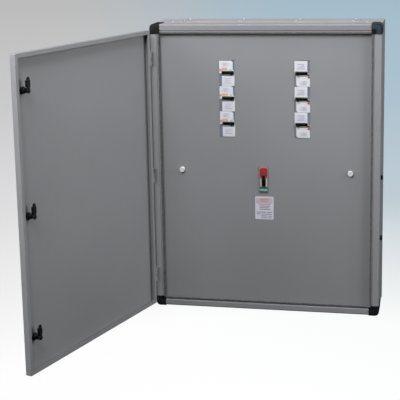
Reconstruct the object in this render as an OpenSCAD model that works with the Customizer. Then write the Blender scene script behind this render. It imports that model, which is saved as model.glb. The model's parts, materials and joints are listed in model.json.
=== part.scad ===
// Wall-mounted electrical panelboard with a hinged door: six three-pole breakers in two columns,
// a central main switch, an inner cover plate, and the copper and terminals behind it.
// Frame: +Z up, the front faces -Y, the wall is at y = 0, and the origin is the centre of the
// four wall fixings on the back panel.

/* [Enclosure] */
// Overall width of the cabinet
cab_w = 940; // [900:5:1000]
// Overall height of the cabinet
cab_h = 1200; // [1190:5:1300]
// Depth from the wall to the front face of the frame
cab_d = 265; // [260:1:300]
// Thickness of the cabinet sheet
sheet_t = 2; // [1.5:0.5:2]
// Width of a frame rail, from its outer face to its inner lip
rail_w = 32; // [32:1:34]
// Depth of a frame rail
rail_d = 43; // [36:1:48]
// Side of a moulded frame corner, seen from the front
corner_size = 40; // [38:1:56]
// Depth of a moulded frame corner
corner_d = 90; // [60:1:100]
// Horizontal distance between wall fixings
fixing_x = 760; // [600:10:800]
// Vertical distance between wall fixings
fixing_z = 1040; // [900:10:1060]
// Radius of a wall fixing hole
fixing_r = 5; // [4:0.5:6]

/* [Door] */
// Gap from the outer face of the frame to the edge of the door
door_inset = 22; // [21:0.5:23]
// Depth of the door pan
door_t = 22; // [20:1:24]
// Width of the lip turned in along the door's edges
door_lip = 15; // [12:1:16]
// Angle that the door stands open at rest
door_open = 106; // [90:1:110]
// Height of one hinge
hinge_h = 56; // [46:1:80]
// Distance of each latch axis from the free edge of the door
latch_edge = 54; // [52:1:58]
// Length of a latch tongue from its axis
latch_reach = 48; // [44:1:48]

/* [Cover and switches] */
// Depth of the cover plate behind the front of the frame
cover_set = 20; // [18:1:21]
// Distance between breakers in a column
breaker_pitch = 105; // [105:0.5:108]
// Distance of each column's toggle slots from the middle
column_x = 151; // [148:1:156]
// Height of the middle breakers' toggle slots
column_z = 293.5; // [285:0.5:300]
// Sideways place of the main switch
main_x = -6; // [-8:1:8]
// Height of the main switch's toggle slot
main_z = -52; // [-60:1:-45]
// Sideways distance of the cover knobs from the middle
knob_x = 350; // [330:1:360]
// Height of the cover knobs
knob_z = -7; // [-20:1:20]
// Tilt of a breaker toggle to each side of the middle
toggle_tilt = 16; // [10:1:17]
// Tilt of the main toggle to each side of the middle
main_tilt = 14; // [8:1:14]

/* [Hidden] */

$fn = 48;

// Colours
paint = "#87898d";
moulding = "#1d2024";
zinc = "#b9bcc0";
bright = "#d9dcdf";
copper = "#b87445";
ivory = "#dfe1e3";

// Frame
front = -cab_d;
rail_wall = 3;
lip_in = rail_wall;
recess_out = 22;
recess_in = recess_out + rail_wall;
recess_d = cover_set + 4;
seal_w = 6;
seal_proud = 0.7;
corner_proud = 1.5;
corner_cap = door_inset - 2;
corner_out_r = 17;
corner_in_r = 12;
corner_face_r = 15;
corner_web_r = min(14, corner_size - rail_w);
rear_rail_d = 20;
panel_in = 1;
back_front = -sheet_t;

// Cover
cover_t = 2;
cover_y = front + cover_set;
cover_back = cover_y + cover_t;
cover_gap = 1;
cover_half_w = cab_w / 2 - recess_in - cover_gap;
cover_half_h = cab_h / 2 - recess_in - cover_gap;
window_low = -36;
window_high = 29;
window_over = 54;
cover_corner_r = 6;
knob_hole_r = 5;
label_w = 77;
label_h = 97;
label_down = 111;

// Door, drawn shut and then swung open about the hinge axis
door_half_w = cab_w / 2 - door_inset;
door_half_h = cab_h / 2 - door_inset;
door_sheet = 2;
door_back = front - 1;
door_front = door_back - door_t;
axis_x = -cab_w / 2 + 2;
axis_y = front - 14;
hinge_zs = [460, -30, -460];
barrel_r = 6;
pin_r = 3;
run_gap = 0.05;
knuckle_gap = 0.3;

// Latches
latch_zs = [447, 0, -447];
latch_x = door_half_w - latch_edge;
spindle_r = 4;
housing_r = 10;
escutcheon_r = 15;
tongue_w = 15;
cam_t = 3;
cam_front = front + 7;

// Breakers
case_l = 161;
case_w = breaker_pitch - 1;
pan_front = cover_y + 85;
case_d = 66;
case_front = pan_front - case_d;
block_front = cover_back + 0.5;
nose_front = cover_y - 2;
pivot_y = cover_y + 45;
shield_r = 44;
shield_t = 5;
handle_w = 9;
handle_reach = 57;
toggle_h = 12;
slot_l = 47;
main_slot_l = 36;
button_u = -30;
button_w = 14;
pole_pitch = 35;
main_mid = 8;
main_nose_w = 39;
main_nose_h = 109;
main_nose_mid = 7.5;
on_plate_h = 40;
off_plate_h = 24;
switch_plate_w = 32;
pan_t = 2;
bar_xs = [-42, 0, 42];
bar_back = -190;

// Breaker places: 1 to 3 down the left column, 4 to 6 down the right one
rows = [1, 0, -1];
function slot_z(i) = column_z + rows[(i - 1) % 3] * breaker_pitch;
function slot_x(i) = i <= 3 ? -column_x : column_x;
function slot_turn(i) = i <= 3 ? 0 : 180;
function arc(c, r, a0, a1, n = 6) =
    [for (i = [0 : n]) c + r * [cos(a0 + (a1 - a0) * i / n), sin(a0 + (a1 - a0) * i / n)]];

// ---------------------------------------------------------------- helpers

// Extrudes a shape drawn in X and Z from depth y0 to depth y1
module along_y(y0, y1) {
    translate([0, y1, 0]) rotate([90, 0, 0]) linear_extrude(y1 - y0) children();
}

// A round bar along Y
module bar_y(r, y0, y1) {
    translate([0, y1, 0]) rotate([90, 0, 0]) cylinder(r = r, h = y1 - y0);
}

// A box given by its two corners
module span(low, high) {
    translate(low) cube(high - low);
}

// Turns what is drawn on the left side round to another side: 0 left, 90 top, 180 right, 270 bottom
module on_side(turn) {
    reach = turn % 180 == 0 ? cab_w / 2 : cab_h / 2;
    rotate([0, turn, 0]) translate([-reach, front, 0]) children();
}

// Half the length of the side that on_side() draws
function side_half(turn) = turn % 180 == 0 ? cab_h / 2 : cab_w / 2;

// Keeps the part of a left-side piece between its two mitred ends
module mitred(turn, deep) {
    half = side_half(turn);
    intersection() {
        children();
        along_y(-10, deep) polygon([[0, -half], [0, half], [100, half - 100], [100, 100 - half]]);
    }
}

// A rounded rectangle drawn about the origin
module round_rect(w, h, r) {
    square([w - 2 * r, h], center = true);
    square([w, h - 2 * r], center = true);
    for (x = [-1, 1], z = [-1, 1]) translate([x * (w / 2 - r), z * (h / 2 - r)]) circle(r);
}

// Swings a piece drawn on the shut door to where it stands at rest
module swung() {
    translate([axis_x, axis_y, 0]) rotate([0, 0, -door_open]) translate([-axis_x, -axis_y, 0]) children();
}

// Moves a breaker piece drawn about its toggle slot to its place; the right column is turned over
module at_breaker(i) {
    translate([slot_x(i), 0, slot_z(i)]) rotate([0, slot_turn(i), 0]) children();
}

// Moves a switch piece drawn with its toggle slot along X to the main switch, slot upright
module at_main() {
    translate([main_x, 0, main_z]) rotate([0, 90, 0]) children();
}

// A pan-head screw whose head stands on z = 0 and whose shank points down
module screw(r) {
    difference() {
        union() {
            cylinder(r = r, h = 2.2);
            translate([0, 0, 2.2]) cylinder(r1 = r, r2 = r - 1, h = 1);
            translate([0, 0, -8]) cylinder(r = screw_hole_r - 0.1, h = 8);
        }
        for (a = [0, 90]) rotate([0, 0, a]) translate([-2.2, -0.5, 1.8]) cube([4.4, 1, 3]);
    }
}

// ---------------------------------------------------------------- cabinet shell

screw_row_y = front + 130;
screw_row_back_y = -32;
screw_xs = [-351, -117, 117, 351];
side_screw_xs = [-402, 402];
gland_half_w = 372;
gland_front_y = screw_row_y - 12;
gland_back_y = screw_row_back_y + 8;
gland_t = 2;
screw_head_r = 6;
screw_hole_r = 2.5;
plug_zs = [-29, -283];
plug_y = front + 62;
plug_r = 10;
plug_shank_r = 6;

module back_panel() {
    color(paint) difference() {
        along_y(-sheet_t, 0) square([cab_w - 2 * panel_in, cab_h - 2 * panel_in], center = true);
        for (x = [-1, 1], z = [-1, 1])
            translate([x * fixing_x / 2, 0, z * fixing_z / 2]) bar_y(fixing_r, -sheet_t - 1, 1);
    }
}

// Sheet between the front rails and the rear rails, notched round the moulded corners
module side_sheet(turn) {
    half = side_half(turn) - (turn % 180 == 0 ? panel_in + sheet_t : panel_in);
    notch = corner_size - (side_half(turn) - half);
    deep = cab_d - sheet_t - rear_rail_d;
    on_side(turn) translate([panel_in, 0, 0]) rotate([90, 0, 90]) linear_extrude(sheet_t)
        polygon([[rail_d, notch - half], [corner_d, notch - half], [corner_d, -half],
            [deep, -half], [deep, half], [corner_d, half], [corner_d, half - notch],
            [rail_d, half - notch]]);
}

module plug_holes(x) {
    for (z = plug_zs) translate([x, plug_y, z]) rotate([0, 90, 0])
        cylinder(r = plug_shank_r + run_gap, h = 20, center = true);
}

module side_panel_left() {
    color(paint) difference() {
        side_sheet(0);
        plug_holes(-cab_w / 2);
    }
}

module side_panel_right() {
    color(paint) difference() {
        side_sheet(180);
        plug_holes(cab_w / 2);
    }
}

// Cable opening and screw holes of the top and bottom panels
module gland_cuts(z) {
    span([-gland_half_w + 30, gland_front_y + 24, z - 20], [gland_half_w - 30, gland_back_y - 24, z + 20]);
    for (x = screw_xs, y = [screw_row_y, screw_row_back_y])
        translate([x, y, z - 20]) cylinder(r = screw_hole_r, h = 40);
    for (x = side_screw_xs) translate([x, screw_row_y, z - 20]) cylinder(r = screw_hole_r, h = 40);
}

module top_panel() {
    color(paint) difference() {
        side_sheet(90);
        gland_cuts(cab_h / 2);
    }
}

module bottom_panel() {
    color(paint) difference() {
        side_sheet(270);
        gland_cuts(-cab_h / 2);
    }
}

module gland_plate() {
    difference() {
        span([-gland_half_w, gland_front_y, cab_h / 2 - panel_in],
            [gland_half_w, gland_back_y, cab_h / 2 - panel_in + gland_t]);
        for (x = screw_xs, y = [screw_row_y, screw_row_back_y])
            translate([x, y, cab_h / 2 - 10]) cylinder(r = screw_hole_r, h = 20);
    }
}

module gland_plates() {
    color(paint) {
        gland_plate();
        rotate([0, 180, 0]) gland_plate();
    }
}

module panel_screws() {
    color(zinc) for (turn = [0, 180]) rotate([0, turn, 0]) {
        for (x = screw_xs, y = [screw_row_y, screw_row_back_y])
            translate([x, y, cab_h / 2 - panel_in + gland_t]) screw(screw_head_r);
        for (x = side_screw_xs) translate([x, screw_row_y, cab_h / 2 - panel_in]) screw(screw_head_r);
    }
}

// Push-in plugs in the spare holes of the side panels
module side_plugs() {
    color(moulding) for (turn = [0, 1], z = plug_zs)
        mirror([turn, 0, 0]) translate([-cab_w / 2 + panel_in, plug_y, z]) rotate([0, -90, 0]) {
            cylinder(r = plug_r, h = 7);
            translate([0, 0, 7]) cylinder(r1 = plug_r, r2 = plug_r - 2.5, h = 2.5);
            translate([0, 0, -7]) cylinder(r = plug_shank_r, h = 7);
        }
}

module rear_rail(turn) {
    deep = cab_d - sheet_t;
    on_side(turn) mitred(turn, cab_d) linear_extrude(2 * side_half(turn), center = true)
        polygon([[0, deep - rear_rail_d], [rail_wall, deep - rear_rail_d], [rail_wall, deep - rail_wall],
            [22, deep - rail_wall], [22, deep], [0, deep]]);
}

module rear_frame_rails() {
    color(paint) for (turn = [0, 90, 180, 270]) rear_rail(turn);
}

// ---------------------------------------------------------------- front frame

// Section of a rail: x inward from the outer face, y back from the front face
module rail_section() {
    step = recess_out + 2;
    polygon(concat([[0, rail_d]], arc([6, 6], 6, 180, 270), [[step, 0], [step + 2, lip_in], [rail_w, lip_in],
        [rail_w, 2 * lip_in], [recess_in, 2 * lip_in], [recess_in, recess_d], [recess_out, recess_d],
        [recess_out, rail_wall], [rail_wall, rail_wall], [rail_wall, rail_d]]));
}

module frame_rail(turn) {
    color(paint) on_side(turn)
        linear_extrude(2 * (side_half(turn) - corner_size), center = true) rail_section();
}

module frame_rail_left() frame_rail(0);
module frame_rail_right() frame_rail(180);
module frame_rail_top() frame_rail(90);
module frame_rail_bottom() frame_rail(270);

// Quarter of a rounded outline, set in by e from the sharp corner of the frame
module corner_outline(e, r) {
    difference() {
        translate([e, e]) square(corner_size - e);
        translate([e, e]) difference() {
            translate([-1, -1]) square(r + 1);
            translate([r, r]) circle(r);
        }
    }
}

// The opening's corner at the inner lips, with a fillet that webs it
module corner_opening(fillet) {
    difference() {
        translate([rail_w, rail_w]) square(corner_size);
        translate([rail_w, rail_w]) difference() {
            translate([-1, -1]) square(fillet + 1);
            translate([fillet, fillet]) circle(fillet);
        }
    }
}

module frame_corner() {
    along_y(-corner_proud, 0) difference() {
        corner_outline(0, corner_face_r);
        translate([corner_cap, corner_cap]) square(corner_size);
    }
    along_y(0, 2 * lip_in) difference() {
        corner_outline(-corner_proud, corner_out_r);
        corner_opening(corner_web_r);
    }
    along_y(2 * lip_in, corner_d) difference() {
        corner_outline(-corner_proud, corner_out_r);
        corner_outline(rail_wall, corner_in_r);
    }
    along_y(2 * lip_in, recess_d) difference() {
        corner_outline(recess_out, 6);
        corner_outline(recess_in, 3);
    }
}

module frame_corners() {
    color(moulding) for (x = [0, 1], z = [0, 1])
        mirror([x, 0, 0]) mirror([0, 0, z]) translate([-cab_w / 2, front, -cab_h / 2]) frame_corner();
}

// Rubber seal along the inner lips; the door's lips close onto it
module seal_run(turn) {
    on_side(turn) mitred(turn, cab_d) linear_extrude(2 * side_half(turn), center = true)
        polygon(concat([[rail_w, 2 * lip_in]], arc([rail_w + 1, 1 - seal_proud], 1, 180, 270, 3),
            arc([rail_w + seal_w - 1, 1 - seal_proud], 1, 270, 360, 3), [[rail_w + seal_w, 2 * lip_in]]));
}

// The seal stops short of the moulded corners' webs, where the door's lip meets the web itself
module frame_seal() {
    stop = 2 * corner_size + 0.2;
    color("#2b2d30") difference() {
        for (turn = [0, 90, 180, 270]) seal_run(turn);
        for (x = [-1, 1], z = [-1, 1])
            translate([x * cab_w / 2, front, z * cab_h / 2]) cube([stop, 40, stop], center = true);
    }
}

// ---------------------------------------------------------------- cover plate

module breaker_window() {
    low = column_z - breaker_pitch - window_over;
    high = column_z + breaker_pitch + window_over;
    for (side = [0, 180])
        translate([0, 0, column_z]) rotate([0, side, 0]) translate([-column_x, 0, -column_z])
            span([window_low, cover_y - 1, low], [window_high, cover_back + 1, high]);
}

module main_window() {
    half_w = main_nose_w / 2 + 1;
    low = main_z + main_nose_mid - main_nose_h / 2 - 1;
    high = main_z + main_nose_mid + main_nose_h / 2 + 1;
    span([main_x - half_w, cover_y - 1, low], [main_x + half_w, cover_back + 1, high]);
}

module cover_plate() {
    color(paint) difference() {
        along_y(cover_y, cover_back) round_rect(2 * cover_half_w, 2 * cover_half_h, cover_corner_r);
        breaker_window();
        main_window();
        for (x = [-knob_x, knob_x]) translate([x, 0, knob_z]) bar_y(knob_hole_r, cover_y - 1, cover_back + 1);
    }
}

// Channels behind the cover that the knobs lock into
module cover_supports() {
    support_half = cab_h / 2 - recess_in;
    color(zinc) for (x = [-knob_x, knob_x]) translate([x, 0, 0]) difference() {
        span([-12, cover_back, -support_half], [12, cover_back + 14, support_half]);
        span([-10, cover_back + sheet_t, -support_half - 1], [10, cover_back + 15, support_half + 1]);
        translate([0, 0, knob_z]) bar_y(knob_hole_r, cover_back - 1, cover_back + 4);
        translate([0, 0, knob_z]) span([-9, cover_back - 1, -3.2], [9, cover_back + 4, 3.2]);
    }
}

module label_card() {
    color("#e6e4ea") translate([main_x + 1.5, 0, main_z - label_down])
        along_y(cover_y - 1, cover_y) round_rect(label_w, label_h, 3);
}

// Quarter-turn knob: head in front of the cover, cross bar behind the channel
module cover_knob(x) {
    color(bright) translate([x, 0, knob_z]) difference() {
        union() {
            bar_y(10, cover_y - 11, cover_y - 1.5);
            bar_y(12, cover_y - 1.5, cover_y - 0.2);
            bar_y(4.5, cover_y - 1, cover_back + 6);
            rotate([0, 90, 0]) span([-8.5, cover_back + 2.3, -2.8], [8.5, cover_back + 5.3, 2.8]);
        }
        rotate([0, 90, 0]) span([-7, cover_y - 12, -1], [7, cover_y - 9, 1]);
    }
}

module cover_knob_left() cover_knob(-knob_x);
module cover_knob_right() cover_knob(knob_x);

// ---------------------------------------------------------------- breakers

// Space that a toggle swings in, drawn about its slot with the slot along X
module toggle_pocket(length) {
    span([-length / 2, nose_front - 1, -toggle_h / 2 - 0.4], [length / 2, pivot_y - 30, toggle_h / 2 + 0.4]);
    translate([0, pivot_y, 0]) {
        intersection() {
            cylinder(r = shield_r + 0.5, h = toggle_h + 0.6, center = true);
            span([-50, -50, -10], [50, -14, 10]);
        }
        intersection() {
            cylinder(r = 20, h = toggle_h + 0.6, center = true);
            span([-50, -50, -10], [50, 0, 10]);
        }
        cylinder(r = 6.5, h = toggle_h + 0.6, center = true);
        cylinder(r = 2 + run_gap, h = toggle_h + 6.6, center = true);
    }
}

// The curved shield, arm, pivot stubs and handle, upright about the pivot
module toggle_lever(half_angle) {
    translate([0, pivot_y, 0]) {
        cylinder(r = 6, h = toggle_h, center = true);
        cylinder(r = 2, h = toggle_h + 6, center = true);
        span([-4, -shield_r + 1, -toggle_h / 2], [4, 0, toggle_h / 2]);
        difference() {
            cylinder(r = shield_r, h = toggle_h, center = true);
            cylinder(r = shield_r - shield_t, h = toggle_h + 2, center = true);
            for (side = [0, 1]) mirror([side, 0, 0]) rotate([0, 0, half_angle])
                span([0, -60, -10], [60, 60, 10]);
            span([-60, 0, -10], [60, 60, 10]);
        }
        span([-handle_w / 2, -handle_reach + 3, -toggle_h / 2 + 0.5],
            [handle_w / 2, -shield_r + 1, toggle_h / 2 - 0.5]);
        translate([0, -handle_reach + 3, 0]) intersection() {
            cylinder(r = handle_w / 2, h = toggle_h - 1, center = true);
            span([-10, -3, -10], [10, 1, 10]);
        }
    }
}

// Raised front of a breaker: an upper and a lower block, stepped sideways past the slot
module breaker_nose() {
    polygon([[-35, 52], [14, 52], [21, 45], [21, 14], [26, 8], [26, 0], [-26, 0], [-35, 0]]);
    polygon([[-26, 0.01], [26, 0.01], [28, -8], [28, -52], [-24, -52], [-24, -14], [-26, -8]]);
}

module breaker_body(i) {
    color(ivory) at_breaker(i) difference() {
        union() {
            span([-case_l / 2, case_front, -case_w / 2], [case_l / 2, pan_front, case_w / 2]);
            span([-44, block_front, -case_w / 2], [44, case_front + 1, case_w / 2]);
            along_y(nose_front, block_front + 1) breaker_nose();
        }
        toggle_pocket(slot_l);
        translate([button_u, 0, button_w]) {
            bar_y(3 + run_gap, nose_front - 1, nose_front + 8);
            bar_y(4.3, nose_front + 7, nose_front + 14);
        }
        for (x = [-1, 1], pole = [-1, 0, 1]) translate([x * (case_l / 2 - 14), 0, pole * pole_pitch]) {
            bar_y(6, case_front - 1, case_front + 9);
            span([-7 + x * 8, case_front + 12, -8], [7 + x * 8, case_front + 30, 8]);
        }
        for (x = [-1, 1], z = [-pole_pitch / 2, pole_pitch / 2]) translate([x * (case_l / 2 - 10), 0, z])
            span([-11, case_front - 1, -0.75], [11, case_front + 40, 0.75]);
    }
}

module breaker_body_1() breaker_body(1);
module breaker_body_2() breaker_body(2);
module breaker_body_3() breaker_body(3);
module breaker_body_4() breaker_body(4);
module breaker_body_5() breaker_body(5);
module breaker_body_6() breaker_body(6);

// A breaker is shown switched on, with its handle tilted to the busbars
module breaker_toggle(i) {
    color(moulding) at_breaker(i) translate([0, pivot_y, 0]) rotate([0, 0, toggle_tilt])
        translate([0, -pivot_y, 0]) toggle_lever(50);
}

module breaker_toggle_1() breaker_toggle(1);
module breaker_toggle_2() breaker_toggle(2);
module breaker_toggle_3() breaker_toggle(3);
module breaker_toggle_4() breaker_toggle(4);
module breaker_toggle_5() breaker_toggle(5);
module breaker_toggle_6() breaker_toggle(6);

module trip_button(i) {
    color("#c23b34") at_breaker(i) translate([button_u, 0, button_w]) {
        bar_y(3, nose_front - 2.5, nose_front + 8);
        bar_y(4, nose_front + 7.3, nose_front + 10.5);
    }
}

module trip_button_1() trip_button(1);
module trip_button_2() trip_button(2);
module trip_button_3() trip_button(3);
module trip_button_4() trip_button(4);
module trip_button_5() trip_button(5);
module trip_button_6() trip_button(6);

// ---------------------------------------------------------------- main switch

module main_switch_body() {
    color(ivory) at_main() difference() {
        union() {
            translate([-main_mid, 0, 0])
                span([-case_l / 2, case_front, -case_w / 2], [case_l / 2, pan_front, case_w / 2]);
            span([-80, block_front, -case_w / 2], [64, case_front + 1, case_w / 2]);
            along_y(nose_front, block_front + 1)
                translate([-main_nose_mid, 0]) round_rect(main_nose_h, main_nose_w, 2);
        }
        toggle_pocket(main_slot_l);
        for (x = [-1, 1], pole = [-1, 0, 1])
            translate([x * (case_l / 2 - 14) - main_mid, 0, pole * pole_pitch])
                bar_y(5, case_front - 1, case_front + 9);
    }
}

// Red plate over the slot, for ON, and green plate under it, for OFF
module main_on_plate() {
    color("#b8343a") at_main() along_y(nose_front - 1, nose_front)
        translate([-(main_slot_l + on_plate_h) / 2 - 2, 0]) round_rect(on_plate_h, switch_plate_w, 6);
}

module main_off_plate() {
    color("#2f6b58") at_main() along_y(nose_front - 1, nose_front)
        translate([(main_slot_l + off_plate_h) / 2 + 2, 0]) round_rect(off_plate_h, switch_plate_w, 3);
}

module main_toggle() {
    color(moulding) at_main() translate([0, pivot_y, 0]) rotate([0, 0, -main_tilt])
        translate([0, -pivot_y, 0]) toggle_lever(40);
}

// ---------------------------------------------------------------- pan, copper and terminals

pan_half_w = 300;
pan_low = -300;
pan_high = 500;
main_top = main_z + main_mid + case_l / 2;
standoffs = [[-270, -270], [270, -270], [-270, 470], [270, 470]];
support_zs = [100, 452];

module mounting_pan() {
    color(zinc) difference() {
        span([-pan_half_w, pan_front, pan_low], [pan_half_w, pan_front + pan_t, pan_high]);
        for (p = standoffs) translate([p[0], 0, p[1]]) bar_y(4.1, pan_front - 1, pan_front + pan_t + 1);
    }
}

// Spacers from the back panel to the pan, each with a nut on a stud
module pan_standoffs() {
    color(zinc) for (p = standoffs) translate([p[0], 0, p[1]]) {
        bar_y(10, pan_front + pan_t, back_front);
        bar_y(4, pan_front - 9, pan_front + pan_t);
        translate([0, pan_front, 0]) rotate([90, 0, 0]) cylinder(r = 7.5, h = 6, $fn = 6);
    }
}

module busbars() {
    color(copper) for (x = bar_xs) span([x - 13, bar_back - 5, main_top], [x + 13, bar_back, 480]);
}

module busbar_supports() {
    color("#7a2f2a") for (z = support_zs) difference() {
        span([-62, bar_back, z], [62, pan_front, z + 18]);
        for (x = [-21, 21]) translate([x, 0, z + 9]) bar_y(4, bar_back - 1, pan_front + 1);
    }
}

// One link for each pole of each row, joining one busbar to the breakers on both sides
module branch_links() {
    half = column_x - case_l / 2;
    color(copper) for (i = [1, 2, 3], pole = [0, 1, 2]) {
        z = slot_z(i) + pole_pitch * (1 - pole);
        span([-half, bar_back + 6, z - 7], [half, bar_back + 10, z + 7]);
        span([bar_xs[pole] - 11, bar_back, z - 7], [bar_xs[pole] + 11, bar_back + 6, z + 7]);
    }
}

// A terminal bar with a row of clamping screws, on two feet, along Z
module terminal_bar(length, pitch) {
    count = floor((length - 30) / pitch);
    difference() {
        span([-8, -22, -length / 2], [8, -10, length / 2]);
        for (i = [0 : count]) translate([0, 0, -length / 2 + 15 + i * pitch]) {
            rotate([0, 90, 0]) translate([0, -16, 0]) cylinder(r = 3, h = 20, center = true);
            bar_y(2.5, -23, -16);
        }
    }
    for (z = [-1, 1]) span([-6, -10, z * (length / 2 - 7) - 6], [6, 0, z * (length / 2 - 7) + 6]);
}

module neutral_bar() {
    color("#c6a45a") translate([266, pan_front, -120]) terminal_bar(240, 14);
}

module earth_bar() {
    color("#c6a45a") translate([0, pan_front, -250]) rotate([0, 90, 0]) terminal_bar(400, 14);
}

// ---------------------------------------------------------------- hinges

third = hinge_h / 3;

module barrel(z0, z1) {
    difference() {
        translate([axis_x, axis_y, z0]) cylinder(r = barrel_r, h = z1 - z0);
        translate([axis_x, axis_y, z0 - 1]) cylinder(r = pin_r + run_gap, h = z1 - z0 + 2);
    }
}

module frame_hinge_leaves() {
    color(zinc) for (z = hinge_zs) translate([0, 0, z]) {
        for (s = [-1, 1]) {
            low = s > 0 ? third / 2 : -hinge_h / 2;
            barrel(low, low + third);
            difference() {
                span([axis_x - 2, axis_y + 2, low], [axis_x + 4, front, low + third]);
                translate([axis_x, axis_y, -60]) cylinder(r = pin_r + 1, h = 120);
            }
        }
        span([axis_x + 4, front - 3, -hinge_h / 2], [axis_x + 14, front, hinge_h / 2]);
    }
}

module hinge_pins() {
    color(bright) for (z = hinge_zs) translate([axis_x, axis_y, z]) {
        translate([0, 0, -hinge_h / 2 - 1]) cylinder(r = pin_r, h = hinge_h + 1);
        translate([0, 0, hinge_h / 2 + 0.1]) cylinder(r = pin_r + 1.6, h = 2.5);
        translate([0, 0, hinge_h / 2 - 1]) cylinder(r = pin_r, h = 2);
    }
}

module door_hinge_leaves() {
    half = third / 2 - knuckle_gap;
    color(zinc) swung() for (z = hinge_zs) translate([0, 0, z]) {
        barrel(-half, half);
        difference() {
            span([axis_x, axis_y - 2.5, -half], [-door_half_w - 3, axis_y + 2.5, half]);
            translate([axis_x, axis_y, -60]) cylinder(r = pin_r + 1, h = 120);
        }
        span([-door_half_w - 3, door_front + 2, -hinge_h / 2], [-door_half_w, door_back - 3, hinge_h / 2]);
    }
}

// ---------------------------------------------------------------- door

module door_panel() {
    color(paint) swung() difference() {
        along_y(door_front, door_back) round_rect(2 * door_half_w, 2 * door_half_h, 4);
        along_y(door_front + door_sheet, door_back - door_sheet)
            round_rect(2 * (door_half_w - door_sheet), 2 * (door_half_h - door_sheet), 3);
        along_y(door_back - door_sheet - 1, door_back + 1)
            round_rect(2 * (door_half_w - door_lip), 2 * (door_half_h - door_lip), 3);
        for (z = latch_zs) translate([latch_x, 0, z]) bar_y(housing_r + 0.1, door_front - 1, door_front + 10);
    }
}

// Latch body through the door skin, with its escutcheon outside and its nut inside
module latch_housings() {
    color(moulding) swung() for (z = latch_zs) translate([latch_x, 0, z]) difference() {
        union() {
            bar_y(escutcheon_r, door_front - 3, door_front);
            bar_y(housing_r, door_front - 1, door_back - 2);
            translate([0, door_front + door_sheet + 7, 0]) rotate([90, 0, 0])
                cylinder(r = escutcheon_r, h = 7, $fn = 6);
        }
        bar_y(spindle_r + run_gap, door_front - 4, door_back + 1);
        bar_y(7, door_front - 4, door_front - 1);
    }
}

module latch_spindle(i) {
    color(zinc) swung() translate([latch_x, 0, latch_zs[i - 1]]) {
        bar_y(spindle_r, door_front - 0.5, cam_front);
        rotate([0, 45, 0]) span([-2.6, door_front - 2.5, -2.6], [2.6, door_front, 2.6]);
        span([-2.6, cam_front, -2.6], [2.6, cam_front + cam_t, 2.6]);
        translate([0, cam_front + cam_t + 4, 0]) rotate([90, 0, 0]) cylinder(r = 6.5, h = 4, $fn = 6);
    }
}

module latch_spindle_1() latch_spindle(1);
module latch_spindle_2() latch_spindle(2);
module latch_spindle_3() latch_spindle(3);

// Tongue that points up when the latch is free and turns behind the rail's lip
module latch_cam(i) {
    color(moulding) swung() translate([latch_x, 0, latch_zs[i - 1]]) difference() {
        union() {
            bar_y(10, cam_front, cam_front + cam_t);
            along_y(cam_front, cam_front + cam_t)
                polygon([[-tongue_w / 2, 0], [tongue_w / 2, 0], [tongue_w / 2, latch_reach - 4],
                    [4, latch_reach], [-4, latch_reach], [-tongue_w / 2, latch_reach - 4]]);
            bar_y(7, cam_front - 4, cam_front);
        }
        span([-2.65, cam_front - 1, -2.65], [2.65, cam_front + cam_t + 1, 2.65]);
        bar_y(spindle_r + 0.02, cam_front - 5, cam_front);
    }
}

module latch_cam_1() latch_cam(1);
module latch_cam_2() latch_cam(2);
module latch_cam_3() latch_cam(3);

// ---------------------------------------------------------------- nodes

back_panel();
side_panel_left();
side_panel_right();
top_panel();
bottom_panel();
rear_frame_rails();
frame_rail_left();
frame_rail_right();
frame_rail_top();
frame_rail_bottom();
frame_corners();
frame_seal();
gland_plates();
panel_screws();
side_plugs();
cover_plate();
cover_supports();
label_card();
mounting_pan();
pan_standoffs();
breaker_body_1();
breaker_body_2();
breaker_body_3();
breaker_body_4();
breaker_body_5();
breaker_body_6();
main_switch_body();
main_on_plate();
main_off_plate();
busbars();
busbar_supports();
branch_links();
neutral_bar();
earth_bar();
frame_hinge_leaves();
hinge_pins();
door_panel();
door_hinge_leaves();
latch_housings();
latch_spindle_1();
latch_spindle_2();
latch_spindle_3();
latch_cam_1();
latch_cam_2();
latch_cam_3();
cover_knob_left();
cover_knob_right();
breaker_toggle_1();
breaker_toggle_2();
breaker_toggle_3();
breaker_toggle_4();
breaker_toggle_5();
breaker_toggle_6();
main_toggle();
trip_button_1();
trip_button_2();
trip_button_3();
trip_button_4();
trip_button_5();
trip_button_6();
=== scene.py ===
"""Looks of the wall-mounted panelboard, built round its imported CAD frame."""

import json
import math

import bmesh
import bpy
from mathutils import Matrix, Vector


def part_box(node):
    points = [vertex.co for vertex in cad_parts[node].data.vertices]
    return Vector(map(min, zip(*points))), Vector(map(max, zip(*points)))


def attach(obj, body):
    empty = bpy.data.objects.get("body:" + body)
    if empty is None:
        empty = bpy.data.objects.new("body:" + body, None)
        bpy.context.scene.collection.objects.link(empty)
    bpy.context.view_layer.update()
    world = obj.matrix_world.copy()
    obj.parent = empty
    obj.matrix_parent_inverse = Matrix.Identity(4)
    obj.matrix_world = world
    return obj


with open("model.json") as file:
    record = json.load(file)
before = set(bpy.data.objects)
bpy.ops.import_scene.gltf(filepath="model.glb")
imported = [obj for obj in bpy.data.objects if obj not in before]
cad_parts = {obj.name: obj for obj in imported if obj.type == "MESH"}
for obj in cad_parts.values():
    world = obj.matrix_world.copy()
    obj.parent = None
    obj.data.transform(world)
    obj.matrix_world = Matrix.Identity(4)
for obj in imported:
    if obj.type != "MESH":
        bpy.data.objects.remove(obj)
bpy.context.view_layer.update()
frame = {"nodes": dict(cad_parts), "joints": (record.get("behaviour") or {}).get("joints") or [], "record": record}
nodes = frame["nodes"]
joints = {j["name"]: j for j in frame["joints"]}
MM = 0.001
BREAKERS = range(1, 7)
LATCHES = range(1, 4)


# ---------------------------------------------------------------- places taken from the frame

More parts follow.
